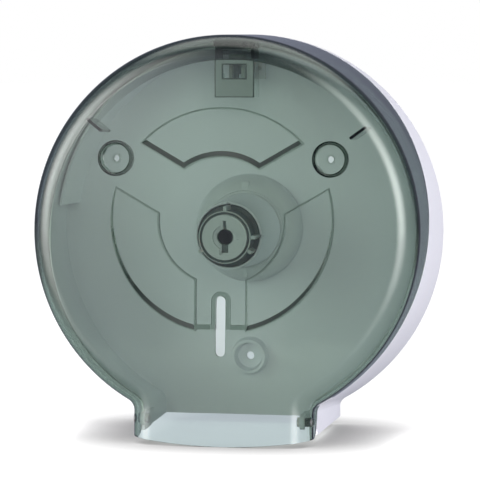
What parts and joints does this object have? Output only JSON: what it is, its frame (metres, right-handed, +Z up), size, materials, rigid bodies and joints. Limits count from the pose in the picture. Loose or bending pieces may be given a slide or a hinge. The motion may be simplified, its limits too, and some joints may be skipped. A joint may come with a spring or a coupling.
{
  "type": "jumbo toilet roll dispenser",
  "caption": "Round wall dispenser for one jumbo toilet roll, with a hinged smoke cover, a free spindle, a key latch and a chute at the bottom.",
  "frame": {"origin": "where the spindle axis meets the wall, in the mouth of the upper wall screw hole on the back face", "axes": "+Z up, +Y into the wall, so the front faces -Y; +X is to the right seen from the front"},
  "size_m": [0.278, 0.118, 0.2793],
  "materials": {
    "white_abs": "moulded white ABS, satin gloss",
    "smoke_san": "clear smoke-tinted SAN, polished mould",
    "dark_nylon": "moulded grey nylon",
    "steel": "zinc-plated steel",
    "felt": "pressed felt"
  },
  "bodies": {
    "housing": {"rear_housing": "white_abs", "hinge_pin_left": "steel", "hinge_pin_right": "steel", "spindle_mount": "white_abs", "spindle_mount_screws": "steel", "friction_washer": "felt", "spindle_retainer": "dark_nylon", "keyhole_disc": "white_abs", "latch_keeper": "dark_nylon", "keeper_screws": "steel"},
    "cover": {"front_cover": "smoke_san", "hinge_bush_left": "dark_nylon", "hinge_bush_right": "dark_nylon", "lock_case": "smoke_san", "lock_plate": "smoke_san", "lock_case_screws": "steel", "key_guide": "smoke_san", "latch_spring": "steel"},
    "sleeve": {"spindle_sleeve": "white_abs"},
    "latch": {"latch_tongue": "white_abs"}
  },
  "joints": [
    {"name": "cover_hinge", "type": "hinge", "parent": "housing", "child": "cover", "pos_m": [0, -0.10517, -0.12431], "axis": [1, 0, 0], "range_deg": [0, 95]},
    {"name": "spindle_spin", "type": "hinge", "parent": "housing", "child": "sleeve", "pos_m": [0, -0.05, 0], "axis": [0, -1, 0], "continuous": true},
    {"name": "latch_slide", "type": "slide", "parent": "cover", "child": "latch", "axis": [0, 0, 1], "range_m": [0, 0.004], "deforming": ["latch_spring"]}
  ]
}
